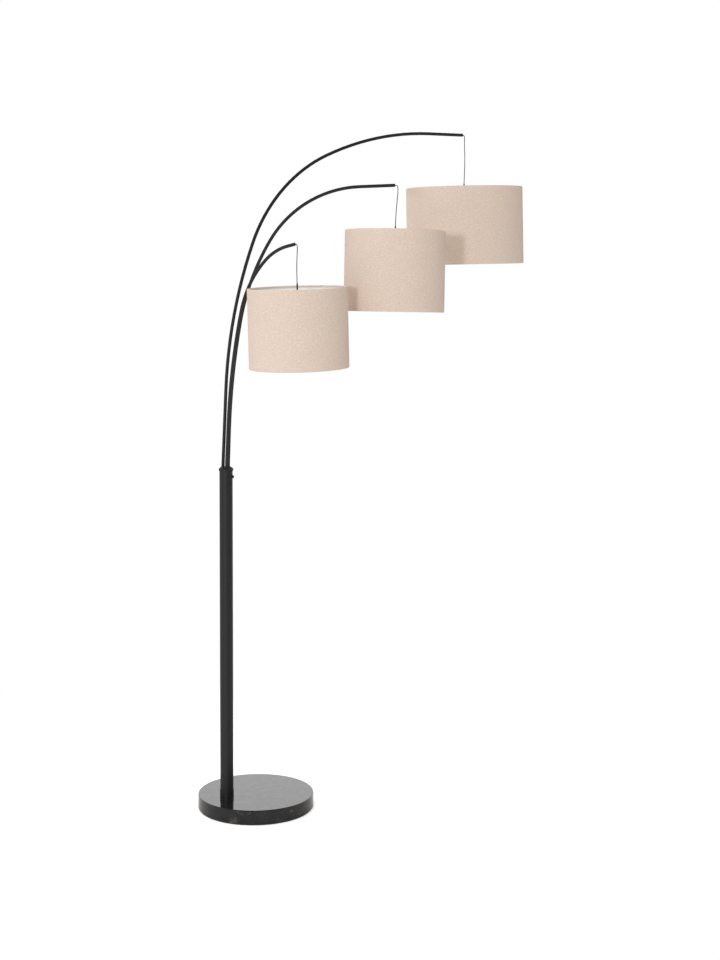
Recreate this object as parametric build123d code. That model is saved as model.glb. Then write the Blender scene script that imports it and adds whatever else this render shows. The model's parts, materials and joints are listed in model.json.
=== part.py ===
from build123d import *
from dataclasses import dataclass
from math import cos, pi, radians, sin, tan
import os

# A tree floor lamp: a marble disc carries an upright post, three bent arms of
# rising height leave the post's cap, and each arm's tip holds a drum shade on a cord.
#
# Millimetres. The origin is the centre of the base's underside, on the floor.
# +Z is up and +X points from the post towards the middle of the base.

# ---- base ------------------------------------------------------------------
base_diameter = 335.0
marble_thickness = 40.0
marble_edge_chamfer = 1.6
pad_thickness = 3.0
pad_inset = 4.0
post_offset = 88.0             # the post stands this far behind the base's centre
counterbore_diameter = 30.0
counterbore_depth = 16.0

# ---- post ------------------------------------------------------------------
post_diameter = 38.0
post_wall = 1.5
post_length = 946.0
foot_ring_height = 18.0
foot_ring_wall = 1.0
foot_ring_chamfer = 0.5
foot_plug_height = 30.0

# ---- the bolt that ties the post to the base --------------------------------
stud_diameter = 10.0
stud_engagement = 25.0         # how far the stud screws up into the foot plug
stud_tail = 1.0                # what shows of the stud below its nut
washer_diameter = 24.0
washer_thickness = 2.0
nut_across_flats = 17.0
nut_height = 8.0

# ---- cap and arm socket at the top of the post --------------------------------
cap_lip_diameter = 41.6
cap_lip_height = 5.8
cap_cone_height = 5.2
cap_top_diameter = 29.2
cap_spigot_depth = 4.0
socket_height = 55.0
socket_floor = 8.0             # left under each arm's foot
arm_foot_radius = 9.0          # the arms' feet stand on this circle
swivel_clearance = 0.05        # radial, round an arm's foot in its socket
cap_hole_clearance = 0.3       # radial, round an arm in the cap

# ---- clamp screw ---------------------------------------------------------------
clamp_screw_azimuth = -34.0
clamp_screw_drop = 17.0        # its axis below the top of the post
clamp_screw_diameter = 5.0
clamp_screw_bite = 3.4         # how deep its blind hole goes into the socket
clamp_screw_tip_gap = 0.4
clamp_head_diameter = 8.4
clamp_head_length = 3.6
clamp_head_gap = 0.3
clamp_head_notches = 12
clamp_notch_depth = 0.45
clamp_slot_width = 1.0
clamp_slot_depth = 1.0

# ---- wiring inside the post ------------------------------------------------------
lead_exit_height = 85.0        # the mains lead's grommet above the marble
lead_exit_azimuth = 70.0
mains_lead_diameter = 7.0
grommet_lip_diameter = 14.0
grommet_lip_thickness = 1.6
grommet_neck_wall = 1.5
grommet_inner_length = 3.0
splice_width = 22.0
splice_depth = 16.0
splice_height = 35.0
splice_edge_chamfer = 1.5

# ---- arms ------------------------------------------------------------------------
arm_diameter = 9.5
arm_wall = 1.0
arm_free_rise = 2.0            # straight length above the cap before the first bend
arm_kick_radius = 150.0        # the small bend that starts each arm's outward lean
bush_lip = 1.5
bush_lip_edge = 0.9            # height of the lip's upright edge
bush_nose_diameter = 8.0       # flat end of the lip
bush_depth = 12.0

# each arm's straight run above its first bend, and at its tip
short_straight = 119.0
short_tip_run = 25.0
middle_straight = 92.0
middle_tip_run = 101.0
long_straight = 213.0
long_tip_run = 124.0

# ---- cords -------------------------------------------------------------------------
cord_diameter = 2.4
cord_end_gap = 0.2             # between the arm's lead and the hanging cord, face to face
cord_exit_run = 3.0            # straight out of the bush before the cord turns down
cord_insert = 2.0              # the cord's end inside the grip's mouth
cord_corner_share = 0.45       # of the shorter run, used up by each corner's arc

# ---- lamp holder ----------------------------------------------------------------------
# heights along the shade's own axis, below the plane of its top rim
grip_rise = 12.0               # the cord grip stands this far above the rim
grip_top_diameter = 4.2
grip_waist_diameter = 5.2
grip_waist_height = 12.0       # above the holder's cap
grip_foot_diameter = 9.0
grip_foot_height = 3.0
grip_mouth_clearance = 0.4
grip_spigot_diameter = 7.8
grip_spigot_length = 8.0
holder_top_drop = 24.0
holder_top_diameter = 16.0
holder_diameter = 37.0
holder_wall = 2.5
holder_cap_height = 22.0
holder_cap_roof = 3.0
holder_shoulder_diameter = 29.6
holder_shoulder_drop = 4.0     # below the cap's top
holder_wall_drop = 12.0        # where the cap's side becomes upright
holder_spigot_height = 7.0
holder_flange_diameter = 46.0
holder_flange_thickness = 3.0
holder_skirt_length = 43.0     # below the flange
holder_web_drop = 8.0          # the insulating web below the flange's underside
holder_web_thickness = 4.0
screw_shell_bore = 26.6        # E27
screw_shell_wall = 0.6
screw_shell_length = 26.0
screw_shell_lip = 3.8
contact_length = 15.0
contact_width = 6.0
contact_thickness = 0.6
contact_hump = 2.2
contact_leg = 9.0
contact_foot = 3.0             # flat at each end of the tongue
contact_tip = 3.0              # flat at the hump
contact_chamber_diameter = 24.0
contact_chamber_height = 3.4   # between the web and the screw shell's lip

# ---- shade frame -----------------------------------------------------------------------
ring_wire_diameter = 3.0
fitter_plate_diameter = 50.0
fitter_plate_thickness = 2.0
fitter_bend_radius = 14.0
fitter_flat_run = 9.0
fitter_arms = 3
fitter_flange_room = 1.0       # between the fitter's arms and the holder's flange
fitter_nut_room = 0.4          # and the shade nut
shade_nut_height = 9.0
shade_nut_diameter = 50.0
shade_nut_ribs = 18
shade_nut_rib_depth = 1.0
shade_nut_rib_width = 4.0

# ---- the three shades ------------------------------------------------------------------------
short_shade_diameter = 279.0
short_shade_height = 224.0
middle_shade_diameter = 290.0
middle_shade_height = 234.0
long_shade_diameter = 360.0
long_shade_height = 237.0

# ---- shade skins ---------------------------------------------------------------------------
linen_thickness = 0.8
liner_thickness = 0.4
skin_gap = 0.1                 # between linen, liner and wire
hem_tuck = 1.6                 # the rolled hem below the wire's centre
liner_ring_gap = 0.3
hem_notch_clearance = 1.0      # round each fitter arm where it leaves the hem

# ---- fits -------------------------------------------------------------------------------------
press_gap = 0.1                # radial, plug, socket and cap in the post
thread_gap = 0.05              # radial, on every screw thread
close_gap = 0.1                # radial, small parts in their holes


@dataclass
class Arm:
    """One arm with its pendant. Angles are in degrees from +X, lengths in mm."""
    name: str
    foot_azimuth: float        # of its foot on the socket's circle
    azimuth: float             # of the vertical plane that the arm lies in
    lean: float                # outward, where the arm leaves the cap
    straight: float            # before the bends
    bends: list                # (radius, angle) of each bend in turn, from foot to tip
    tip_run: float             # straight length at the tip
    cord_points: list          # (outward, sideways, down) of the cord's corners, from its exit
    shade_diameter: float
    shade_height: float
    shade_lean: float          # of the shade's axis as it hangs
    shade_lean_azimuth: float
    fitter_azimuth: float      # of one arm of the shade's fitter


ARMS = [
    Arm(name="short", foot_azimuth=-94.0, azimuth=-54.0, lean=2.95, straight=short_straight,
        bends=[(1732.0, 10.7), (293.0, 33.8), (164.0, 29.7)], tip_run=short_tip_run,
        cord_points=[(5.2, -0.1, 0.4), (6.5, -0.2, 3.2), (7.0, -0.3, 8.6), (7.0, -0.7, 19.0),
                     (6.5, -1.2, 37.0), (7.1, -1.8, 73.0), (8.8, -2.1, 108.0)],
        shade_diameter=short_shade_diameter, shade_height=short_shade_height,
        shade_lean=1.46, shade_lean_azimuth=176.0, fitter_azimuth=35.0),
    Arm(name="middle", foot_azimuth=26.0, azimuth=-16.0, lean=1.81, straight=middle_straight,
        bends=[(2249.0, 8.2), (690.0, 20.5), (312.0, 57.1)], tip_run=middle_tip_run,
        cord_points=[(5.2, 0.1, 1.3), (6.5, 0.2, 4.2), (6.8, 0.4, 9.6), (6.7, 0.8, 20.0),
                     (5.4, 1.8, 40.0), (3.0, 3.8, 80.0), (1.6, 5.4, 117.5)],
        shade_diameter=middle_shade_diameter, shade_height=middle_shade_height,
        shade_lean=3.07, shade_lean_azimuth=51.0, fitter_azimuth=70.0),
    Arm(name="long", foot_azimuth=146.0, azimuth=11.0, lean=2.65, straight=long_straight,
        bends=[(1334.0, 18.5), (458.0, 45.6), (901.0, 23.7)], tip_run=long_tip_run,
        cord_points=[(5.6, 0.1, 1.4), (7.1, 0.2, 4.4), (7.5, 0.3, 10.0), (7.7, 0.5, 21.0),
                     (8.6, 0.9, 43.0), (10.6, 1.7, 78.0), (9.6, 2.4, 114.0), (8.4, 2.9, 149.0)],
        shade_diameter=long_shade_diameter, shade_height=long_shade_height,
        shade_lean=1.56, shade_lean_azimuth=115.0, fitter_azimuth=20.0),
]

# ---- heights and radii worked out from the sizes above -------------------------------------------
marble_top = pad_thickness + marble_thickness
post_top = marble_top + post_length
cap_top = post_top + cap_lip_height + cap_cone_height
socket_top = post_top - cap_spigot_depth
socket_bottom = socket_top - socket_height
arm_foot = socket_bottom + socket_floor
foot_plug_top = marble_top + foot_plug_height
splice_top = foot_plug_top + splice_height
clamp_screw_height = post_top - clamp_screw_drop
stud_top = marble_top + stud_engagement
washer_top = pad_thickness + counterbore_depth
washer_bottom = washer_top - washer_thickness
base_nut_bottom = washer_bottom - nut_height

post_radius = post_diameter / 2
post_bore = post_radius - post_wall
arm_radius = arm_diameter / 2
cord_radius = cord_diameter / 2
wire_radius = ring_wire_diameter / 2
holder_radius = holder_diameter / 2
flange_top = -(holder_top_drop + holder_cap_height)
flange_bottom = flange_top - holder_flange_thickness
holder_bottom = flange_bottom - holder_skirt_length
web_top = flange_bottom - holder_web_drop
web_bottom = web_top - holder_web_thickness
shell_top = web_bottom - contact_chamber_height
fitter_plate_middle = flange_bottom - fitter_plate_thickness / 2
shade_nut_top = flange_bottom - fitter_plate_thickness
hem_radius = wire_radius + skin_gap + linen_thickness

post_axis = Vector(-post_offset, 0, 0)

UP_FROM_BASE = (Align.CENTER, Align.CENTER, Align.MIN)


def outward(azimuth):
    """Horizontal unit vector at an azimuth."""
    return Vector(cos(radians(azimuth)), sin(radians(azimuth)), 0)


def upright(azimuth, origin=Vector(0, 0, 0)):
    """Vertical plane through the origin: its X points outward at the azimuth, its Y up."""
    return Plane(origin=origin, x_dir=outward(azimuth), z_dir=outward(azimuth - 90))


def disc(radius, bottom, top, centre=post_axis):
    """Upright cylinder between two heights."""
    return Pos(centre.X, centre.Y, bottom) * Cylinder(radius, top - bottom, align=UP_FROM_BASE)


def tube(outer, inner, bottom, top, centre=post_axis):
    """Upright tube between two heights."""
    return disc(outer, bottom, top, centre) - disc(inner, bottom, top, centre)


def spun(*points):
    """Solid of revolution round Z of a closed outline of (radius, height) points."""
    outline = Plane.XZ * make_face(Polyline(*points, close=True))
    return revolve(outline, axis=Axis.Z)


def torus(radius, wire, height):
    """Ring of round wire lying flat."""
    return Pos(0, 0, height) * Torus(radius, wire)


def radial_rod(radius, inner, outer, azimuth, height):
    """Level cylinder that lies along a radius of the post."""
    start = post_axis + outward(azimuth) * inner + Vector(0, 0, height)
    return Plane(origin=start, z_dir=outward(azimuth)) * Cylinder(radius, outer - inner, align=UP_FROM_BASE)


def foot_position(arm):
    """Axis of an arm's foot, on the socket's circle."""
    return post_axis + outward(arm.foot_azimuth) * arm_foot_radius


# ---- base ------------------------------------------------------------------------------------------
def make_marble_base():
    stone = disc(base_diameter / 2, pad_thickness, marble_top, Vector(0, 0, 0))
    stone = chamfer(stone.edges(), marble_edge_chamfer)
    stone -= disc(stud_diameter / 2 + close_gap, pad_thickness, marble_top)
    return stone - disc(counterbore_diameter / 2, pad_thickness, washer_top)


def make_base_pad():
    return disc(base_diameter / 2 - pad_inset, 0, pad_thickness, Vector(0, 0, 0))


def make_base_stud():
    return disc(stud_diameter / 2, base_nut_bottom - stud_tail, stud_top)


def make_base_washer():
    return tube(washer_diameter / 2, stud_diameter / 2 + close_gap, washer_bottom, washer_top)


def make_base_nut():
    hexagon = RegularPolygon(nut_across_flats / 2, 6, major_radius=False)
    blank = Pos(-post_offset, 0, base_nut_bottom) * extrude(hexagon, nut_height)
    return blank - disc(stud_diameter / 2 + thread_gap, base_nut_bottom, washer_bottom)


# ---- post --------------------------------------------------------------------------------------------
def make_post_tube():
    post = tube(post_radius, post_bore, marble_top, post_top)
    post -= radial_rod(clamp_screw_diameter / 2 + thread_gap, 0, post_diameter,
                       clamp_screw_azimuth, clamp_screw_height)
    neck = mains_lead_diameter / 2 + grommet_neck_wall
    return post - radial_rod(neck + close_gap, 0, post_diameter,
                             lead_exit_azimuth, marble_top + lead_exit_height)


def make_foot_plug():
    plug_radius = post_bore - press_gap
    return tube(plug_radius, stud_diameter / 2 + thread_gap, marble_top, foot_plug_top)


def make_foot_ring():
    bore = post_radius + press_gap
    ring = tube(bore + foot_ring_wall, bore, marble_top, marble_top + foot_ring_height)
    rim = ring.edges().filter_by(GeomType.CIRCLE).group_by(Axis.Z)[-1].sort_by(SortBy.RADIUS)[-1]
    return chamfer(rim, foot_ring_chamfer)


def make_arm_socket():
    """Block inside the post with a blind bore for each arm's foot and a hole for its lead."""
    block = disc(post_bore - press_gap, socket_bottom, socket_top)
    for arm in ARMS:
        foot = foot_position(arm)
        block -= disc(arm_radius + swivel_clearance, arm_foot, socket_top, foot)
        block -= disc(arm_radius - arm_wall, socket_bottom, arm_foot, foot)
    hole_end = post_bore - press_gap - clamp_screw_bite
    return block - radial_rod(clamp_screw_diameter / 2 + thread_gap, hole_end, post_diameter,
                              clamp_screw_azimuth, clamp_screw_height)


def make_post_cap():
    lip_top = post_top + cap_lip_height
    spigot_radius = post_bore - press_gap
    cap = spun((0, socket_top), (spigot_radius, socket_top), (spigot_radius, post_top),
               (cap_lip_diameter / 2, post_top), (cap_lip_diameter / 2, lip_top),
               (cap_top_diameter / 2, cap_top), (0, cap_top))
    cap = Pos(-post_offset, 0, 0) * cap
    for arm in ARMS:
        cap -= disc(arm_radius + cap_hole_clearance, socket_top, cap_top, foot_position(arm))
    return cap


def make_clamp_screw():
    """Knurled screw with a slotted head, through the post's wall into the arm socket."""
    tip = post_bore - press_gap - clamp_screw_bite + clamp_screw_tip_gap
    head_start = post_radius + clamp_head_gap
    head_end = head_start + clamp_head_length
    head_radius = clamp_head_diameter / 2
    height = clamp_screw_height
    screw = radial_rod(clamp_screw_diameter / 2, tip, head_start, clamp_screw_azimuth, height)
    screw += radial_rod(head_radius, head_start, head_end, clamp_screw_azimuth, height)
    on_axis = Plane(origin=post_axis + Vector(0, 0, height), z_dir=outward(clamp_screw_azimuth))
    notch = Cylinder(clamp_notch_depth, clamp_head_length, align=UP_FROM_BASE)
    for step in range(clamp_head_notches):
        turn = Rot(0, 0, step * 360 / clamp_head_notches)
        screw -= on_axis * (turn * (Pos(head_radius, 0, head_start) * notch))
    slot = Box(clamp_head_diameter, clamp_slot_width, clamp_slot_depth,
               align=(Align.CENTER, Align.CENTER, Align.MAX))
    return screw - on_axis * (Pos(0, 0, head_end) * slot)


# ---- wiring inside the post ------------------------------------------------------------------------------
def make_lead_grommet():
    """Bush in the post's wall that the mains lead passes through; its lip lies on the round post."""
    height = marble_top + lead_exit_height
    neck_radius = mains_lead_diameter / 2 + grommet_neck_wall
    lip_end = post_radius + grommet_lip_thickness
    lip = radial_rod(grommet_lip_diameter / 2, 0, lip_end, lead_exit_azimuth, height)
    lip -= disc(post_radius, marble_top, post_top)
    neck = radial_rod(neck_radius, post_bore - grommet_inner_length, lip_end, lead_exit_azimuth, height)
    return lip + neck - radial_rod(mains_lead_diameter / 2, 0, post_diameter, lead_exit_azimuth, height)


def make_lead_splice():
    """Terminal block on the foot plug, where the mains lead meets the three arm leads."""
    block = Box(splice_width, splice_depth, splice_height, align=UP_FROM_BASE)
    block = chamfer(block.edges().filter_by(Axis.Z), splice_edge_chamfer)
    return Pos(-post_offset, 0, foot_plug_top) * block


def make_post_leads():
    """One straight lead to each arm, from the terminal block to the arm's foot."""
    leads = [disc(cord_radius, splice_top, arm_foot - cord_end_gap, foot_position(arm)) for arm in ARMS]
    return Compound(children=leads)


# ---- arms ------------------------------------------------------------------------------------------------
def arm_path(arm, beyond=0.0):
    """Centreline of an arm from its foot to its tip, and on by some straight length."""
    runs = [Line((0, arm_foot), (0, cap_top + arm_free_rise))]
    runs.append(JernArc(runs[-1] @ 1, runs[-1] % 1, arm_kick_radius, -arm.lean))
    runs.append(Line(runs[-1] @ 1, runs[-1] @ 1 + (runs[-1] % 1) * arm.straight))
    for radius, angle in arm.bends:
        runs.append(JernArc(runs[-1] @ 1, runs[-1] % 1, radius, -angle))
    runs.append(Line(runs[-1] @ 1, runs[-1] @ 1 + (runs[-1] % 1) * (arm.tip_run + beyond)))
    flat = Wire([edge for run in runs for edge in run.edges()])
    return flat.moved(upright(arm.azimuth, foot_position(arm)).location)


def swept_along(path, section):
    """Sweep a flat section, drawn round the origin, along a path."""
    return sweep(Plane(origin=path @ 0, z_dir=path % 0) * section, path=path)


def tip_plane(arm):
    """Plane across the arm's tip, with Z along the tube and out of it."""
    path = arm_path(arm)
    return Plane(origin=path @ 1, z_dir=path % 1)


def make_arm_tube(arm):
    return swept_along(arm_path(arm), Circle(arm_radius) - Circle(arm_radius - arm_wall))


def make_arm_bush(arm):
    """Flanged bush that closes the tube's mouth round the cord."""
    sleeve_radius = arm_radius - arm_wall - close_gap
    hole = cord_radius + close_gap
    bush = spun((hole, -bush_depth), (sleeve_radius, -bush_depth), (sleeve_radius, 0), (arm_radius, 0),
                (arm_radius, bush_lip_edge), (bush_nose_diameter / 2, bush_lip), (hole, bush_lip))
    return tip_plane(arm) * bush


def make_arm_lead(arm):
    return swept_along(arm_path(arm, bush_lip), Circle(cord_radius))


# ---- cords -------------------------------------------------------------------------------------------------
def cord_exit(arm):
    """Where the cord leaves the bush."""
    mouth = tip_plane(arm)
    return mouth.origin + mouth.z_dir * bush_lip


def cord_corner(arm, point):
    """A cord point in the lamp's frame."""
    out, side, down = point
    return cord_exit(arm) + outward(arm.azimuth) * out + outward(arm.azimuth + 90) * side - Vector(0, 0, down)


def cord_route(arm):
    """Corners of the cord, from the bush to its end inside the grip."""
    direction = tip_plane(arm).z_dir
    start = cord_exit(arm) + direction * cord_end_gap
    corners = [start, start + direction * cord_exit_run]
    corners += [cord_corner(arm, point) for point in arm.cord_points]
    return corners


def corner_radii(corners):
    """Arc radius at each corner: as large as its two runs allow."""
    radii = []
    for before, here, after in zip(corners, corners[1:], corners[2:]):
        incoming = here - before
        leaving = after - here
        half_turn = radians(incoming.get_angle(leaving)) / 2
        radii.append(cord_corner_share * min(incoming.length, leaving.length) / tan(half_turn))
    return radii


def pivot_point(arm):
    """Where the pendant tilts: on the cord, at the grip's mouth."""
    return cord_corner(arm, arm.cord_points[-1])


def make_cord(arm):
    corners = cord_route(arm)
    corners[-1] = corners[-1] - Vector(0, 0, cord_insert)
    radii = corner_radii(corners)
    path = FilletPolyline(*corners, radius=radii)
    cord = swept_along(path, Circle(cord_radius))
    drawn = pi * cord_radius ** 2 * path.length
    print(f"{arm.name}_cord: length {path.length:.1f}, radii {[round(r, 1) for r in radii]},",
          f"volume over section x length {cord.volume / drawn:.4f}")
    return cord


# ---- pendants ----------------------------------------------------------------------------------------------
def shade_plane(arm):
    """Frame of a shade: the origin in the middle of its top rim, Z along its axis."""
    lean = radians(arm.shade_lean)
    axis = outward(arm.shade_lean_azimuth) * sin(lean) + Vector(0, 0, cos(lean))
    return Plane(origin=pivot_point(arm) - axis * grip_rise, x_dir=outward(arm.azimuth), z_dir=axis)


def wire_ring_radius(arm):
    """Radius of the wire rings' centreline, inside the linen."""
    return arm.shade_diameter / 2 - hem_radius


def fitter_turns(arm):
    """Rotation of each fitter arm in the shade's frame."""
    first = arm.fitter_azimuth - arm.azimuth
    return [Rot(0, 0, first + step * 360 / fitter_arms) for step in range(fitter_arms)]


def fitter_arm_path(arm):
    """One fitter arm from the top ring down and in to the plate."""
    plate_edge = fitter_plate_diameter / 2 - wire_radius
    bend_x = plate_edge + fitter_flat_run
    return Plane.XZ * FilletPolyline((wire_ring_radius(arm), -hem_radius), (bend_x, fitter_plate_middle),
                                     (plate_edge, fitter_plate_middle), radius=fitter_bend_radius)


def make_cord_grip(arm):
    """Tapered grip screwed into the holder's cap; the cord enters its mouth."""
    foot = -holder_top_drop
    grip = spun((0, foot - grip_spigot_length), (grip_spigot_diameter / 2, foot - grip_spigot_length),
                (grip_spigot_diameter / 2, foot), (grip_foot_diameter / 2, foot),
                (grip_foot_diameter / 2, foot + grip_foot_height),
                (grip_waist_diameter / 2, foot + grip_waist_height),
                (grip_top_diameter / 2, grip_rise), (0, grip_rise))
    mouth_radius = cord_radius + grip_mouth_clearance
    mouth_depth = cord_insert + grip_mouth_clearance
    return grip - Pos(0, 0, grip_rise - mouth_depth) * Cylinder(mouth_radius, mouth_depth, align=UP_FROM_BASE)


def make_holder_cap(arm):
    """Domed cap over the terminals, open below, on the holder's spigot."""
    top = -holder_top_drop
    roof = top - holder_cap_roof
    hole = grip_spigot_diameter / 2 + thread_gap
    shoulder = holder_shoulder_diameter / 2
    wall_inner = holder_radius - holder_wall
    return spun((hole, top), (holder_top_diameter / 2, top), (shoulder, top - holder_shoulder_drop),
                (holder_radius, top - holder_wall_drop), (holder_radius, flange_top), (wall_inner, flange_top),
                (wall_inner, top - holder_wall_drop), (shoulder - holder_wall, roof - holder_wall), (hole, roof))


def make_holder_body(arm):
    """Holder with a flange, a threaded skirt for the shade nut and a web over the screw shell."""
    shell_pocket = screw_shell_bore / 2 + screw_shell_wall + close_gap
    spigot_radius = holder_radius - holder_wall - close_gap
    body = spun((shell_pocket, holder_bottom), (holder_radius, holder_bottom),
                (holder_radius, flange_bottom), (holder_flange_diameter / 2, flange_bottom),
                (holder_flange_diameter / 2, flange_top), (spigot_radius, flange_top),
                (spigot_radius, flange_top + holder_spigot_height),
                (spigot_radius - holder_wall, flange_top + holder_spigot_height),
                (spigot_radius - holder_wall, web_top), (0, web_top), (0, web_bottom),
                (contact_chamber_diameter / 2, web_bottom), (contact_chamber_diameter / 2, shell_top),
                (shell_pocket, shell_top))
    slot_x = contact_length / 2 - contact_thickness / 2
    slot = Box(contact_thickness + 2 * close_gap, contact_width + 2 * close_gap, holder_web_thickness,
               align=UP_FROM_BASE)
    return body - Pos(slot_x, 0, web_bottom) * slot


def make_screw_shell(arm):
    """Thin brass shell that takes the bulb's screw cap, with a lip at its top."""
    bore = screw_shell_bore / 2
    outer = bore + screw_shell_wall
    bottom = shell_top - screw_shell_length
    return spun((bore, bottom), (outer, bottom), (outer, shell_top), (bore - screw_shell_lip, shell_top),
                (bore - screw_shell_lip, shell_top - screw_shell_wall), (bore, shell_top - screw_shell_wall))


def make_centre_contact(arm):
    """Sprung tongue under the web, with a leg that rises through it to the terminal."""
    top = web_bottom
    hump = top - contact_hump
    end = contact_length / 2
    foot = end - contact_foot
    tip = contact_tip / 2
    t = contact_thickness
    outline = Polyline((-end, top), (-end, top - t), (-foot, top - t), (-tip, hump - t), (tip, hump - t),
                       (foot, top - t), (end, top - t), (end, top + contact_leg), (end - t, top + contact_leg),
                       (end - t, top), (foot - t, top), (tip, hump), (-tip, hump), (-foot, top), close=True)
    return extrude(Plane.XZ * make_face(outline), contact_width / 2, both=True)


def make_shade_nut(arm):
    """Ribbed ring nut that clamps the fitter's plate up against the flange."""
    bore = holder_radius + thread_gap
    nut = spun((bore, shade_nut_top - shade_nut_height), (shade_nut_diameter / 2, shade_nut_top - shade_nut_height),
               (shade_nut_diameter / 2, shade_nut_top), (bore, shade_nut_top))
    groove = Box(2 * shade_nut_rib_depth, shade_nut_rib_width, shade_nut_height, align=UP_FROM_BASE)
    for step in range(shade_nut_ribs):
        turn = Rot(0, 0, step * 360 / shade_nut_ribs)
        nut -= turn * (Pos(shade_nut_diameter / 2, 0, shade_nut_top - shade_nut_height) * groove)
    return nut


def make_shade_fitter(arm):
    """Top ring, three sloping arms and the centre plate, welded into one."""
    frame = torus(wire_ring_radius(arm), wire_radius, -hem_radius)
    arm_wire = swept_along(fitter_arm_path(arm), Circle(wire_radius))
    for turn in fitter_turns(arm):
        frame += turn * arm_wire
    plate_bottom = flange_bottom - fitter_plate_thickness
    hole = holder_radius + close_gap
    frame += disc(fitter_plate_diameter / 2, plate_bottom, flange_bottom, Vector(0, 0, 0))
    frame -= disc(holder_flange_diameter / 2 + fitter_flange_room, flange_bottom, flange_top, Vector(0, 0, 0))
    frame -= disc(shade_nut_diameter / 2 + fitter_nut_room, shade_nut_top - shade_nut_height, shade_nut_top,
                  Vector(0, 0, 0))
    return frame - disc(hole, plate_bottom, flange_bottom, Vector(0, 0, 0))


def make_bottom_ring(arm):
    return torus(wire_ring_radius(arm), wire_radius, hem_radius - arm.shade_height)


def make_shade_liner(arm):
    """Stiff white sheet behind the linen."""
    outer = arm.shade_diameter / 2 - linen_thickness - skin_gap
    margin = hem_radius + wire_radius + liner_ring_gap
    return tube(outer, outer - liner_thickness, margin - arm.shade_height, -margin, Vector(0, 0, 0))


def make_shade_cover(arm):
    """Linen drum whose hems roll in over the wire rings, notched where the fitter's arms leave."""
    outer = arm.shade_diameter / 2
    inner = outer - linen_thickness
    tuck = outer - 2 * hem_radius
    tuck_outer = tuck + linen_thickness
    centre = wire_ring_radius(arm)
    top = -hem_radius
    bottom = hem_radius - arm.shade_height
    crown = hem_radius - linen_thickness
    outline = [
        Line((outer, bottom), (outer, top)),
        ThreePointArc((outer, top), (centre, 0), (tuck, top)),
        Polyline((tuck, top), (tuck, top - hem_tuck), (tuck_outer, top - hem_tuck), (tuck_outer, top)),
        ThreePointArc((tuck_outer, top), (centre, top + crown), (inner, top)),
        Line((inner, top), (inner, bottom)),
        ThreePointArc((inner, bottom), (centre, bottom - crown), (tuck_outer, bottom)),
        Polyline((tuck_outer, bottom), (tuck_outer, bottom + hem_tuck), (tuck, bottom + hem_tuck), (tuck, bottom)),
        ThreePointArc((tuck, bottom), (centre, -arm.shade_height), (outer, bottom)),
    ]
    drum = revolve(Plane.XZ * make_face([edge for line in outline for edge in line.edges()]), axis=Axis.Z)
    notch = Box(3 * hem_radius, ring_wire_diameter + 2 * hem_notch_clearance, 3 * hem_radius)
    for turn in fitter_turns(arm):
        drum -= turn * (Pos(centre - 1.5 * hem_radius, 0, top - hem_radius) * notch)
    return drum


# ---- everything, by node ---------------------------------------------------------------------------------------
STAND = {
    "marble_base": make_marble_base,
    "base_pad": make_base_pad,
    "base_stud": make_base_stud,
    "base_washer": make_base_washer,
    "base_nut": make_base_nut,
    "foot_plug": make_foot_plug,
    "foot_ring": make_foot_ring,
    "post_tube": make_post_tube,
    "arm_socket": make_arm_socket,
    "post_cap": make_post_cap,
    "clamp_screw": make_clamp_screw,
    "lead_grommet": make_lead_grommet,
    "lead_splice": make_lead_splice,
    "post_leads": make_post_leads,
}

ON_EACH_ARM = {
    "arm_tube": make_arm_tube,
    "arm_bush": make_arm_bush,
    "arm_lead": make_arm_lead,
    "cord": make_cord,
}

ON_EACH_SHADE = {
    "cord_grip": make_cord_grip,
    "holder_cap": make_holder_cap,
    "holder_body": make_holder_body,
    "screw_shell": make_screw_shell,
    "centre_contact": make_centre_contact,
    "shade_nut": make_shade_nut,
    "shade_fitter": make_shade_fitter,
    "bottom_ring": make_bottom_ring,
    "shade_liner": make_shade_liner,
    "shade_cover": make_shade_cover,
}


def build():
    nodes = {name: make() for name, make in STAND.items()}
    for arm in ARMS:
        for name, make in ON_EACH_ARM.items():
            nodes[f"{arm.name}_{name}"] = make(arm)
        placed = shade_plane(arm)
        for name, make in ON_EACH_SHADE.items():
            nodes[f"{arm.name}_{name}"] = placed * make(arm)
    return nodes


os.makedirs("parts", exist_ok=True)
for node, shape in build().items():
    export_step(shape, f"parts/{node}.step")
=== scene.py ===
import json
from math import ceil, cos, hypot, pi, radians, sin

import bpy
from mathutils import Matrix, Quaternion, Vector, noise


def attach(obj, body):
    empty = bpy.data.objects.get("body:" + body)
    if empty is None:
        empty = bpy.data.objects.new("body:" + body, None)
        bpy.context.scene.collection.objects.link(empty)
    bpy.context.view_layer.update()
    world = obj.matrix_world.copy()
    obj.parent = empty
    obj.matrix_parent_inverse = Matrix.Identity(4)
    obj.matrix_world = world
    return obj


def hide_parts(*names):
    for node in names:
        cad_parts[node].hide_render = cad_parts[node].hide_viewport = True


# A tree floor lamp: marble disc, black post, three bent arms, each with a linen drum
# shade on a short cord. Metres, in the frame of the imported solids.

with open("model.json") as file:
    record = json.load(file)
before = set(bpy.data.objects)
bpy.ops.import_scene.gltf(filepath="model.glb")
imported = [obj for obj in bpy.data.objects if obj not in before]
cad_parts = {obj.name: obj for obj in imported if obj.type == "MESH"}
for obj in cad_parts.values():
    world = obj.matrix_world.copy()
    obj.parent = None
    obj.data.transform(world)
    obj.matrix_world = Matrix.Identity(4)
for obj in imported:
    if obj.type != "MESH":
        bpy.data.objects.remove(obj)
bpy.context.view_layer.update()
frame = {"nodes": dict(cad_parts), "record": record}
nodes = frame["nodes"]

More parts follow.
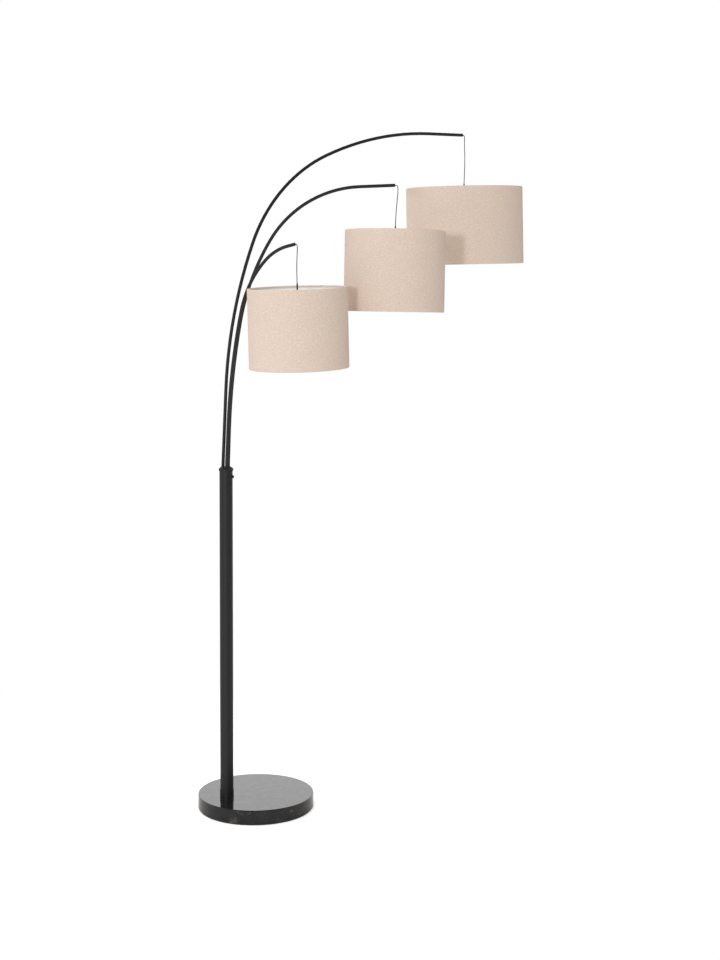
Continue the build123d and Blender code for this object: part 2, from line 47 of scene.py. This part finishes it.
# ---- sizes, as the solids have them --------------------------------------------------------
CORD_DIAMETER = 0.0024
HEM_RADIUS = 0.0024            # outside of the linen rolled over the ring wires
LINEN_THICKNESS = 0.0008
LINER_THICKNESS = 0.0004
SKIN_GAP = 0.0001
WIRE_RADIUS = 0.0015
HEM_TUCK = 0.0016              # the roll's end, below the wire's centre
GRIP_RISE = 0.012
NOTCH_WIDTH = 0.005            # in the top hem, where a wire of the fitter leaves
LAP_WIDTH = 0.012              # overlap of linen and liner at the back
LAP_GAP = 0.00005              # between the two layers of the overlap
LINEN_WAVE = 0.00035           # how far the linen strays from a true drum
LINER_WAVE = 0.00015
LINER_CLEARANCE = 0.0003       # between the liner's edges and the ring wires
CORD_START = 0.0002            # the cord's first point, outside the bush
CORD_STRAIGHT = 0.003          # how far the cord leaves the bush straight
CORD_TAIL = 0.0012             # the cord's last point, inside its grip

# ---- facets of the sheets ------------------------------------------------------------------
HEM_STEPS = 8                  # round each half roll
NOTCH_ROWS = 5                 # of the top hem, from its end, that a notch goes through
LINEN_ROWS = 28                # down the linen between its hems
LINER_ROWS = 24
COLUMN_TURN = 0.026            # radians from one column of faces to the next

SHADES = {
    "short": dict(
        arm_azimuth=-54.0, pivot=(0.055797, -0.211334, 1.531834), diameter=0.279, height=0.224,
        lean=1.46, lean_azimuth=176.0, fitter_azimuth=35.0, seam_azimuth=74.0),
    "middle": dict(
        arm_azimuth=-16.0, pivot=(0.383876, -0.123426, 1.689052), diameter=0.290, height=0.234,
        lean=3.07, lean_azimuth=51.0, fitter_azimuth=70.0, seam_azimuth=98.0),
    "long": dict(
        arm_azimuth=11.0, pivot=(0.729960, 0.168433, 1.820063), diameter=0.360, height=0.237,
        lean=1.56, lean_azimuth=115.0, fitter_azimuth=20.0, seam_azimuth=66.0),
}


# ---- node materials ------------------------------------------------------------------------
class Look:
    """A procedural material on one Principled shader."""

    def __init__(self, name, **inputs):
        self.name = name
        self.material = bpy.data.materials.new(name)
        self.material.use_nodes = True
        self.tree = self.material.node_tree
        self.shader = self.tree.nodes["Principled BSDF"]
        for socket, value in inputs.items():
            self.shader.inputs[socket.replace("_", " ")].default_value = value

    def add(self, kind, inputs=None, **settings):
        node = self.tree.nodes.new("ShaderNode" + kind)
        for key, value in settings.items():
            setattr(node, key, value)
        for key, value in (inputs or {}).items():
            self.put(value, node.inputs[key])
        return node

    def put(self, value, socket):
        if isinstance(value, bpy.types.NodeSocket):
            self.tree.links.new(value, socket)
        else:
            socket.default_value = value

    def maths(self, operation, *values):
        return self.add("Math", dict(enumerate(values)), operation=operation).outputs[0]

    def object_place(self):
        return self.add("TexCoord").outputs["Object"]

    def cloth_place(self):
        return self.add("UVMap", uv_map="cloth").outputs["UV"]

    def grain(self, place, scale, stretch=(1, 1, 1), detail=2.0, roughness=0.5, distortion=0.0):
        """Noise, finer for a higher scale (per metre), drawn out where stretch is under 1."""
        placed = self.add("Mapping", {"Vector": place, "Scale": stretch})
        return self.add("TexNoise", {
            "Vector": placed.outputs[0], "Scale": scale, "Detail": detail,
            "Roughness": roughness, "Distortion": distortion}).outputs[0]

    def span(self, value, low, high, to_low=0.0, to_high=1.0):
        return self.add("MapRange", {0: value, 1: low, 2: high, 3: to_low, 4: to_high}).outputs[0]

    def blend(self, share, first, second):
        node = self.add("Mix", {0: share, 6: first, 7: second}, data_type="RGBA")
        return node.outputs[2]

    def colour(self, value):
        self.put(value, self.shader.inputs["Base Color"])

    def rough(self, value):
        self.put(value, self.shader.inputs["Roughness"])

    def relief(self, height, distance, strength=1.0):
        bump = self.add("Bump", {"Height": height, "Distance": distance, "Strength": strength})
        self.put(bump.outputs[0], self.shader.inputs["Normal"])


THREADS = 1150.0               # of the linen, per metre each way


def linen_look():
    """Plain weave with slubs in both directions, on the cloth's own lengths in metres."""
    look = Look("linen", Roughness=0.92, Sheen_Weight=0.12, Sheen_Roughness=0.6,
                Specular_IOR_Level=0.25)
    place = look.cloth_place()
    wander = look.grain(place, 90.0, detail=2.0)
    parts = look.add("SeparateXYZ", {0: place})
    u = look.maths("MULTIPLY_ADD", parts.outputs[0], THREADS, look.maths("MULTIPLY", wander, 1.1))
    v = look.maths("MULTIPLY_ADD", parts.outputs[1], THREADS, look.maths("MULTIPLY", wander, 0.9))
    heights = []
    for across, along in ((u, v), (v, u)):
        crown = look.maths("ABSOLUTE", look.maths("SINE", look.maths("MULTIPLY", across, pi)))
        row = look.maths("FLOOR", across)
        flip = 0.0 if across is u else 1.0
        phase = look.maths("MULTIPLY", look.maths("ADD", along, look.maths("ADD", row, flip)), pi)
        over = look.maths("MULTIPLY_ADD", look.maths("SINE", phase), 0.35, 0.65)
        heights.append(look.maths("MULTIPLY", crown, over))
    weave = look.maths("MAXIMUM", heights[0], heights[1])
    weft_slub = look.span(look.grain(place, 640.0, (0.045, 1.0, 1.0), 2.5, 0.6), 0.42, 0.74)
    warp_slub = look.span(look.grain(place, 640.0, (1.0, 0.04, 1.0), 2.5, 0.6), 0.46, 0.76)
    slub = look.maths("MAXIMUM", weft_slub, warp_slub)
    cloud = look.grain(place, 9.0, detail=3.0)
    fleck = look.span(look.grain(place, 420.0, (0.5, 1.0, 1.0), 3.0, 0.7), 0.30, 0.70)
    yarn = look.blend(fleck, (0.680, 0.543, 0.447, 1), (0.850, 0.725, 0.625, 1))
    yarn = look.blend(look.maths("MULTIPLY", slub, 0.55), yarn, (0.905, 0.795, 0.690, 1))
    # painted shade: darker where the weave is low, in the hollows between the threads
    painted_gap_shade = look.span(weave, 0.10, 0.62, 0.34, 0.0)
    yarn = look.blend(painted_gap_shade, yarn, (0.50, 0.375, 0.28, 1))
    yarn = look.blend(look.span(cloud, 0.35, 0.7, 0.0, 0.16), yarn, (0.66, 0.52, 0.42, 1))
    # darker threads, drawn out along the weft and the warp
    weft_bar = look.grain(place, 470.0, (0.30, 1.0, 1.0), 2.0, 0.6)
    warp_bar = look.grain(place, 470.0, (1.0, 0.35, 1.0), 2.0, 0.6)
    bars = look.span(look.maths("MULTIPLY_ADD", warp_bar, 0.8, weft_bar), 0.68, 1.12, 0.0, 0.50)
    yarn = look.blend(bars, yarn, (0.52, 0.385, 0.30, 1))
    look.colour(yarn)
    height = look.maths("MULTIPLY_ADD", slub, 0.6, weave)
    look.relief(height, 0.00035, 0.8)
    return look


def liner_look():
    look = Look("liner", Roughness=0.62, Specular_IOR_Level=0.35)
    place = look.object_place()
    cloud = look.grain(place, 14.0, detail=3.0)
    look.colour(look.blend(cloud, (0.88, 0.867, 0.845, 1), (0.92, 0.91, 0.895, 1)))
    look.relief(look.grain(place, 700.0, detail=2.0), 0.0001, 0.35)
    return look


def black_metal_look():
    """Satin powder coat: fine orange peel, a little uneven in its shine."""
    look = Look("black_metal", Specular_IOR_Level=0.33)
    place = look.object_place()
    wear = look.span(look.grain(place, 38.0, detail=4.0, roughness=0.6), 0.35, 0.75)
    look.colour(look.blend(wear, (0.0088, 0.0084, 0.0092, 1), (0.0130, 0.0125, 0.0134, 1)))
    look.rough(look.span(wear, 0.0, 1.0, 0.50, 0.58))
    look.relief(look.grain(place, 900.0, detail=2.0), 0.00005, 0.25)
    return look


MARBLE_PATCH = (-0.115, -0.124, -0.002)  # brown-grey spot on the rim, left of the middle


def marble_look():
    """Polished black marble: clouded ground, thin pale veins, pale specks, a few brown patches.
    The polish shows on the top face and hardly on the rim."""
    look = Look("marble", Specular_IOR_Level=0.28, Coat_Roughness=0.03, Coat_IOR=1.75)
    place = look.object_place()
    warp = look.add("TexNoise", {"Vector": place, "Scale": 5.0, "Detail": 4.0})
    shift = look.add("VectorMath", {0: warp.outputs[1], 1: (0.5, 0.5, 0.5)}, operation="SUBTRACT")
    shift = look.add("VectorMath", {0: shift.outputs[0], "Scale": 0.16}, operation="SCALE")
    bent = look.add("VectorMath", {0: place, 1: shift.outputs[0]}, operation="ADD").outputs[0]
    cloud = look.span(look.grain(place, 26.0, detail=6.0, roughness=0.62), 0.38, 0.72)
    ground = look.blend(cloud, (0.0050, 0.0049, 0.0056, 1), (0.0150, 0.0146, 0.0156, 1))
    patch = look.span(look.grain(bent, 27.0, detail=5.0, roughness=0.6), 0.67, 0.73, 0.0, 0.7)
    near = look.add("VectorMath", {0: bent, 1: MARBLE_PATCH}, operation="DISTANCE").outputs["Value"]
    edge = look.grain(place, 150.0, detail=4.0, roughness=0.65)
    near = look.maths("MULTIPLY_ADD", edge, 0.016, near)
    patch = look.maths("MAXIMUM", patch, look.span(near, 0.021, 0.031, 0.75, 0.0))
    ground = look.blend(patch, ground, (0.080, 0.068, 0.060, 1))
    for scale, width, fade, tone in ((11.0, 0.0045, 24.0, 0.30), (23.0, 0.008, 46.0, 0.26)):
        sheet = look.grain(bent, scale, detail=3.0, roughness=0.5)
        off = look.maths("ABSOLUTE", look.maths("SUBTRACT", sheet, 0.5))
        line = look.span(off, 0.0, width, 1.0, 0.0)
        here = look.span(look.grain(place, fade, detail=2.0), 0.58, 0.70)
        vein = look.maths("MULTIPLY", look.maths("POWER", line, 1.4), here)
        ground = look.blend(vein, ground, (tone, tone * 0.97, tone * 0.91, 1))
    speck = look.add("TexVoronoi", {"Vector": place, "Scale": 70.0}, feature="F1")
    size = look.grain(place, 31.0, detail=2.0)
    speck = look.maths("LESS_THAN", speck.outputs["Distance"], look.span(size, 0.5, 0.8, 0.0, 0.12))
    ground = look.blend(look.maths("MULTIPLY", speck, 0.7), ground, (0.40, 0.39, 0.37, 1))
    look.colour(ground)
    look.rough(look.span(cloud, 0.0, 1.0, 0.10, 0.17))
    shine = look.grain(place, 60.0, detail=5.0, roughness=0.75)
    normal = look.add("SeparateXYZ", {0: look.add("NewGeometry").outputs["Normal"]})
    top = look.span(normal.outputs[2], 0.3, 0.9, 0.06, 1.0)
    look.put(look.maths("MULTIPLY", top, look.span(shine, 0.35, 0.65, 0.82, 1.0)),
             look.shader.inputs["Coat Weight"])
    return look


def plastic_look(name, low, high, roughness, peel=0.00006):
    look = Look(name, Specular_IOR_Level=0.45)
    place = look.object_place()
    mottle = look.grain(place, 90.0, detail=4.0, roughness=0.6)
    look.colour(look.blend(mottle, (*low, 1), (*high, 1)))
    look.rough(look.span(mottle, 0.3, 0.7, roughness - 0.05, roughness + 0.07))
    look.relief(look.grain(place, 1500.0, detail=2.0), peel, 0.3)
    return look


def bare_metal_look(name, low, high, roughness, scratch=(1.0, 1.0, 0.05)):
    """Bare metal with fine tool marks along one direction."""
    look = Look(name, Metallic=1.0)
    place = look.object_place()
    marks = look.grain(place, 1400.0, scratch, 3.0, 0.6)
    stain = look.grain(place, 60.0, detail=4.0)
    look.colour(look.blend(stain, (*low, 1), (*high, 1)))
    look.rough(look.span(marks, 0.3, 0.7, roughness - 0.06, roughness + 0.08))
    look.relief(marks, 0.00003, 0.3)
    return look


def pad_look():
    look = Look("pad", Roughness=0.95)
    place = look.object_place()
    cells = look.grain(place, 900.0, detail=3.0, roughness=0.7)
    look.colour(look.blend(cells, (0.012, 0.012, 0.012, 1), (0.035, 0.034, 0.033, 1)))
    look.relief(cells, 0.0003, 0.6)
    return look


LOOKS = {look.name: look.material for look in (
    linen_look(), liner_look(), black_metal_look(), marble_look(), pad_look(),
    bare_metal_look("steel", (0.50, 0.50, 0.49), (0.62, 0.62, 0.62), 0.34),
    bare_metal_look("socket_metal", (0.60, 0.60, 0.61), (0.70, 0.70, 0.71), 0.30),
    bare_metal_look("brass", (0.64, 0.43, 0.16), (0.78, 0.57, 0.27), 0.26),
    plastic_look("black_plastic", (0.011, 0.011, 0.0115), (0.017, 0.017, 0.0175), 0.42),
    plastic_look("white_plastic", (0.72, 0.71, 0.68), (0.78, 0.77, 0.75), 0.45),
    plastic_look("cord_rubber", (0.010, 0.010, 0.010), (0.017, 0.0165, 0.016), 0.55, 0.00004),
    plastic_look("white_wire", (0.76, 0.755, 0.74), (0.82, 0.815, 0.80), 0.32),
)}

for part in frame["record"]["subparts"]:
    for held in nodes[part["node"]].material_slots:
        held.material = LOOKS[part["material_slot"]]


# ---- meshes --------------------------------------------------------------------------------
def outward(azimuth):
    return Vector((cos(radians(azimuth)), sin(radians(azimuth)), 0.0))


def shade_matrix(shade):
    """Frame of a shade: origin in the middle of its top rim, Z along its axis."""
    lean = radians(shade["lean"])
    axis = outward(shade["lean_azimuth"]) * sin(lean) + Vector((0, 0, cos(lean)))
    across = outward(shade["arm_azimuth"])
    across = (across - axis * across.dot(axis)).normalized()
    origin = Vector(shade["pivot"]) - axis * GRIP_RISE
    rows = Matrix((across, axis.cross(across), axis)).transposed()
    return Matrix.Translation(origin) @ rows.to_4x4()


def make_piece(name, points, faces, slot, body, smooth=True, uvs=None):
    """A mesh piece that rides on a body and takes its finish from a slot of the record."""
    mesh = bpy.data.meshes.new(name)
    mesh.from_pydata(points, [], faces)
    if uvs:
        layer = mesh.uv_layers.new(name="cloth")
        for corner in mesh.loops:
            layer.data[corner.index].uv = uvs[corner.vertex_index]
    for face in mesh.polygons:
        face.use_smooth = smooth
    mesh.materials.append(LOOKS[slot])
    piece = bpy.data.objects.new(name, mesh)
    bpy.context.scene.collection.objects.link(piece)
    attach(piece, body)
    return piece


def stations(seam, radius, marks, step):
    """Angles round a drum from the seam to a little past it, with exact ones beside each mark and
    more of them where the lap rises."""
    lap = LAP_WIDTH / radius
    half = NOTCH_WIDTH / 2 / radius
    count = ceil(2 * pi / step)
    angles = {seam + 2 * pi * i / count for i in range(count + 1)}
    for mark in marks:
        turned = seam + (mark - seam) % (2 * pi)
        angles = {a for a in angles if abs(a - turned) > 1.6 * half}
        angles |= {turned - half, turned, turned + half}
    angles |= {seam + 2 * pi + lap * share for share in (0.5, 1.0)}
    angles |= {seam + 2 * pi - lap * share for share in (0.35, 0.7, 1.1)}
    return sorted(angles)


def hem_profile(radius, height):
    """Half-section of the linen's outer face, from the end of the top roll to that of the bottom
    one, as (distance from the axis, height)."""
    centre = radius - HEM_RADIUS
    line = [(centre - HEM_RADIUS, -HEM_RADIUS - HEM_TUCK), (centre - HEM_RADIUS, -HEM_RADIUS)]
    for i in range(1, HEM_STEPS + 1):
        turn = pi - pi * i / HEM_STEPS
        line.append((centre + HEM_RADIUS * cos(turn), -HEM_RADIUS + HEM_RADIUS * sin(turn)))
    bottom = HEM_RADIUS - height
    for i in range(1, LINEN_ROWS + 1):
        line.append((radius, -HEM_RADIUS + (bottom + HEM_RADIUS) * i / LINEN_ROWS))
    for i in range(1, HEM_STEPS + 1):
        turn = -pi * i / HEM_STEPS
        line.append((centre + HEM_RADIUS * cos(turn), bottom + HEM_RADIUS * sin(turn)))
    line.append((centre - HEM_RADIUS, bottom + HEM_TUCK))
    return line


def sheet_round(name, shade, line, thickness, slot, notched, uneven):
    """A sheet wrapped into a drum along a half-section, lapped over itself at the seam. Returns
    the piece and its flat length down and round."""
    radius = max(r for r, _ in line)
    first = radians(shade["fitter_azimuth"] - shade["arm_azimuth"])
    marks = [first + 2 * pi * i / 3 for i in range(3)] if notched else []
    seam = radians(shade["seam_azimuth"] - shade["arm_azimuth"])
    angles = stations(seam, radius, marks, COLUMN_TURN)
    lap = LAP_WIDTH / radius
    placed = shade_matrix(shade)
    lengths = [0.0]
    for (r0, z0), (r1, z1) in zip(line, line[1:]):
        lengths.append(lengths[-1] + hypot(r1 - r0, z1 - z0))
    points, uvs, faces = [], [], []
    for angle in angles:
        rise = min(max((angle - (seam + 2 * pi - lap)) / lap, 0.0), 1.0)
        outset = (thickness + LAP_GAP) * rise * rise * (3 - 2 * rise)
        for (r, z), length in zip(line, lengths):
            spot = Vector((cos(angle) * 3.0, sin(angle) * 3.0, z * 9.0))
            wave = noise.noise(spot + Vector((shade["lean"], 0, 0))) * uneven
            full = r + outset + wave
            points.append(placed @ Vector((full * cos(angle), full * sin(angle), z)))
            uvs.append(((angle - seam) * radius, length))
    rows = len(line)
    half = NOTCH_WIDTH / 2 / radius
    for i in range(len(angles) - 1):
        middle = (angles[i] + angles[i + 1]) / 2
        cut = any(abs((middle - mark + pi) % (2 * pi) - pi) < half for mark in marks)
        for j in range(rows - 1):
            if cut and j < NOTCH_ROWS:
                continue
            a = i * rows + j
            faces.append((a, a + 1, a + rows + 1, a + rows))
    piece = make_piece(name, points, faces, slot, f"{shade['name']}_shade", uvs=uvs)
    thick = piece.modifiers.new("thickness", "SOLIDIFY")
    thick.thickness = thickness
    thick.offset = -1.0
    thick.use_even_offset = True
    return piece, lengths[-1], (angles[-1] - angles[0]) * radius


for name, shade in SHADES.items():
    shade["name"] = name
    radius = shade["diameter"] / 2
    cover, run, girth = sheet_round(
        f"{name}_linen", shade, hem_profile(radius, shade["height"]), LINEN_THICKNESS,
        "linen", notched=True, uneven=LINEN_WAVE)
    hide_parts(f"{name}_shade_cover")
    margin = HEM_RADIUS + WIRE_RADIUS + LINER_CLEARANCE
    inner = radius - LINEN_THICKNESS - 3 * SKIN_GAP
    tall = shade["height"] - 2 * margin
    wall = [(inner, -margin - tall * i / LINER_ROWS) for i in range(LINER_ROWS + 1)]
    liner, _, _ = sheet_round(
        f"{name}_lining", shade, wall, LINER_THICKNESS, "liner", notched=False,
        uneven=LINER_WAVE)
    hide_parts(f"{name}_shade_liner")


# ---- cords ---------------------------------------------------------------------------------
def cord_points(shade, exit_point, tip, corners):
    """The cord's route: straight out of the arm, then down to the grip."""
    out = outward(shade["arm_azimuth"])
    side = outward(shade["arm_azimuth"] + 90)
    start = exit_point + tip * CORD_START
    route = [start, start + tip * CORD_STRAIGHT]
    for ahead, aside, down in corners:
        route.append(exit_point + out * ahead + side * aside - Vector((0, 0, down)))
    route[-1] = route[-1] - Vector((0, 0, CORD_TAIL))
    return route


# the way each arm's tip points, the cord's length, and the cord's points as the distances from
# the bush ahead along the arm, to its left and down
CORDS = {
    "short": dict(
        tip=(0.57306, -0.78876, 0.22240), length=0.1151,
        corners=[(0.0056, -0.0001, 0.0006), (0.0076, -0.0002, 0.0036), (0.0084, -0.0003, 0.0090),
                 (0.0085, -0.0007, 0.0190), (0.0076, -0.0012, 0.0370), (0.0071, -0.0018, 0.0730),
                 (0.0088, -0.0021, 0.1080)]),
    "middle": dict(
        tip=(0.96043, -0.27540, 0.04170), length=0.1240,
        corners=[(0.0056, 0.0001, 0.0014), (0.0077, 0.0002, 0.0045), (0.0084, 0.0004, 0.0098),
                 (0.0083, 0.0008, 0.0200), (0.0066, 0.0018, 0.0400), (0.0030, 0.0038, 0.0800),
                 (0.0016, 0.0054, 0.1175)]),
    "long": dict(
        tip=(0.98160, 0.19080, -0.00785), length=0.1557,
        corners=[(0.0056, 0.0001, 0.0014), (0.0071, 0.0002, 0.0044), (0.0075, 0.0003, 0.0100),
                 (0.0077, 0.0005, 0.0210), (0.0086, 0.0009, 0.0430), (0.0106, 0.0017, 0.0780),
                 (0.0096, 0.0024, 0.1140), (0.0084, 0.0029, 0.1490)]),
}

for name, cord in CORDS.items():
    shade = SHADES[name]
    ahead, aside, down = cord["corners"][-1]
    exit_point = (Vector(shade["pivot"]) - outward(shade["arm_azimuth"]) * ahead
                  - outward(shade["arm_azimuth"] + 90) * aside + Vector((0, 0, down)))
    route = cord_points(shade, exit_point, Vector(cord["tip"]), cord["corners"])
    curve = bpy.data.curves.new(f"{name}_flex", "CURVE")
    curve.dimensions = "3D"
    spline = curve.splines.new("NURBS")
    spline.points.add(len(route) - 1)
    for point, place in zip(spline.points, route):
        point.co = (*place, 1.0)
    spline.order_u = 3
    spline.use_endpoint_u = True
    spline.resolution_u = 12
    curve.bevel_depth = CORD_DIAMETER / 2
    curve.bevel_resolution = 4
    curve.use_fill_caps = True
    curve.materials.append(LOOKS["cord_rubber"])
    flex = bpy.data.objects.new(f"{name}_flex", curve)
    bpy.context.scene.collection.objects.link(flex)
    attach(flex, f"{name}_pendant")
    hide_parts(f"{name}_cord")


# ---- floor, light and camera ---------------------------------------------------------------
FLOOR_HALF_SIDE = 14.0
FLOOR_LIFT = 0.36              # brings the lit floor up to white where the camera sees it
FADE_START, FADE_END = 0.4, 1.6  # from the floor's own shading to plain white
WHITE = (1.0, 1.0, 1.0, 1.0)
WARM_SIDE, PALE_SIDE = (1.075, 1.0, 0.925, 1.0), (1.015, 1.0, 0.985, 1.0)
BEHIND, LEFT = (0.342, 0.940, 0.25), (-0.985, -0.174, 0.0)
LEFT_OF_PHOTO, LEFT_AND_UP, UP = (-0.940, 0.342, 0.0), (-0.72, 0.26, 0.64), (0.0, 0.0, 1.0)
KEY_PLACE, KEY_TARGET = (-4.25, -6.56, 2.1), (0.3, 0.0, 1.5)
KEY_SIDE, KEY_POWER, KEY_COLOUR = 0.6, 188.0, (0.955, 1.0, 1.045)
CAMERA_PLACE = (-1.5121, -4.8341, 1.7036)
CAMERA_YAW, CAMERA_PITCH, CAMERA_ROLL = radians(20.78), radians(3.104), radians(0.078)


def make_floor():
    """Pale floor that fades to white away from the lamp."""
    side = FLOOR_HALF_SIDE
    mesh = bpy.data.meshes.new("floor")
    corners = [(-side, -side), (side, -side), (side, side), (-side, side)]
    mesh.from_pydata([(x, y, 0.0) for x, y in corners], [], [(0, 1, 2, 3)])
    floor = bpy.data.objects.new("floor", mesh)
    bpy.context.scene.collection.objects.link(floor)
    material = bpy.data.materials.new("pale_floor")
    material.use_nodes = True
    tree = material.node_tree
    shader = tree.nodes["Principled BSDF"]
    shader.inputs["Base Color"].default_value = (0.93, 0.93, 0.93, 1)
    shader.inputs["Roughness"].default_value = 0.9
    shader.inputs["Specular IOR Level"].default_value = 0.0
    shader.inputs["Emission Color"].default_value = WHITE
    white = tree.nodes.new("ShaderNodeEmission")
    place = tree.nodes.new("ShaderNodeTexCoord")
    away = tree.nodes.new("ShaderNodeVectorMath")
    away.operation = "LENGTH"
    fade = tree.nodes.new("ShaderNodeMapRange")
    fade.interpolation_type = "SMOOTHSTEP"
    fade.inputs["From Min"].default_value = FADE_START
    fade.inputs["From Max"].default_value = FADE_END
    seen = tree.nodes.new("ShaderNodeLightPath")
    lift = tree.nodes.new("ShaderNodeMath")
    lift.operation = "MULTIPLY"
    lift.inputs[1].default_value = FLOOR_LIFT
    mix = tree.nodes.new("ShaderNodeMixShader")
    output = tree.nodes["Material Output"]
    links = tree.links
    links.new(seen.outputs["Is Camera Ray"], lift.inputs[0])
    links.new(lift.outputs[0], shader.inputs["Emission Strength"])
    links.new(place.outputs["Object"], away.inputs[0])
    links.new(away.outputs["Value"], fade.inputs["Value"])
    links.new(fade.outputs[0], mix.inputs[0])
    links.new(shader.outputs[0], mix.inputs[1])
    links.new(white.outputs[0], mix.inputs[2])
    links.new(mix.outputs[0], output.inputs["Surface"])
    mesh.materials.append(material)


def make_world():
    """White where the camera sees it. Its light is stronger from the photo's left and overhead and
    warmer from the right; in reflections it is white behind the lamp, paler to the left and dark
    in front."""
    world = bpy.data.worlds.new("studio")
    bpy.context.scene.world = world
    world.use_nodes = True
    tree = world.node_tree
    links = tree.links
    tree.nodes.clear()
    output = tree.nodes.new("ShaderNodeOutputWorld")
    path = tree.nodes.new("ShaderNodeLightPath")
    place = tree.nodes.new("ShaderNodeTexCoord")

    def towards(direction, low, high, to_low, to_high):
        facing = tree.nodes.new("ShaderNodeVectorMath")
        facing.operation = "DOT_PRODUCT"
        facing.inputs[1].default_value = direction
        span = tree.nodes.new("ShaderNodeMapRange")
        span.interpolation_type = "SMOOTHSTEP"
        for index, value in enumerate((low, high, to_low, to_high), start=1):
            span.inputs[index].default_value = value
        links.new(place.outputs["Generated"], facing.inputs[0])
        links.new(facing.outputs["Value"], span.inputs[0])
        return span.outputs[0]

    def background(strength):
        shade = tree.nodes.new("ShaderNodeBackground")
        shade.inputs[0].default_value = WHITE
        if isinstance(strength, float):
            shade.inputs[1].default_value = strength
        else:
            links.new(strength, shade.inputs[1])
        return shade.outputs[0]

    def mixed(share, first, second):
        mix = tree.nodes.new("ShaderNodeMixShader")
        links.new(share, mix.inputs[0])
        links.new(first, mix.inputs[1])
        links.new(second, mix.inputs[2])
        return mix.outputs[0]

    def combined(operation, first, second):
        maths = tree.nodes.new("ShaderNodeMath")
        maths.operation = operation
        links.new(first, maths.inputs[0])
        links.new(second, maths.inputs[1])
        return maths.outputs[0]

    behind = towards(BEHIND, -0.1, 0.8, 0.10, 1.0)
    left = towards(LEFT, 0.60, 1.0, 0.0, 1.10)
    mirrored = background(combined("MAXIMUM", behind, left))
    around = towards(LEFT_AND_UP, -1.3, 1.3, 0.045, 0.86)
    overhead = towards(UP, 0.35, 1.0, 0.0, 0.78)
    ambient = background(combined("ADD", around, overhead))
    tint = tree.nodes.new("ShaderNodeMix")
    tint.data_type = "RGBA"
    tint.inputs[6].default_value = WARM_SIDE
    tint.inputs[7].default_value = PALE_SIDE
    links.new(towards(LEFT_OF_PHOTO, -0.9, 0.7, 0.0, 1.0), tint.inputs[0])
    links.new(tint.outputs[2], ambient.node.inputs[0])
    shiny = combined("MAXIMUM", path.outputs["Is Glossy Ray"], path.outputs["Is Transmission Ray"])
    light = mixed(shiny, ambient, mirrored)
    seen = mixed(path.outputs["Is Camera Ray"], light, background(1.0))
    links.new(seen, output.inputs["Surface"])


def make_key_light():
    """A small square light, to the left of the camera and a little above the shades."""
    light = bpy.data.lights.new("key", "AREA")
    light.shape = "RECTANGLE"
    light.size = KEY_SIDE
    light.size_y = KEY_SIDE
    light.energy = KEY_POWER
    light.color = KEY_COLOUR
    holder = bpy.data.objects.new("key", light)
    bpy.context.scene.collection.objects.link(holder)
    holder.location = KEY_PLACE
    holder.rotation_mode = "QUATERNION"
    aim = Vector(KEY_PLACE) - Vector(KEY_TARGET)
    holder.rotation_quaternion = aim.to_track_quat("Z", "Y")


def make_camera():
    """Close to where the photograph was taken from: 5.04 m from the post, 1.70 m up."""
    camera = bpy.data.cameras.new("camera")
    holder = bpy.data.objects.new("camera", camera)
    bpy.context.scene.collection.objects.link(holder)
    bpy.context.scene.camera = holder
    camera.lens = 66.12
    camera.shift_y = -0.17
    camera.clip_start = 0.1
    camera.clip_end = 60.0
    yaw, pitch = CAMERA_YAW, CAMERA_PITCH
    forward = Vector((sin(yaw) * cos(pitch), cos(yaw) * cos(pitch), -sin(pitch)))
    holder.location = CAMERA_PLACE
    holder.rotation_mode = "QUATERNION"
    holder.rotation_quaternion = (forward.to_track_quat("-Z", "Y")
                                  @ Quaternion((0, 0, 1), CAMERA_ROLL))


make_floor()
make_world()
make_key_light()
make_camera()

scene = bpy.context.scene
scene.view_settings.view_transform = "Standard"
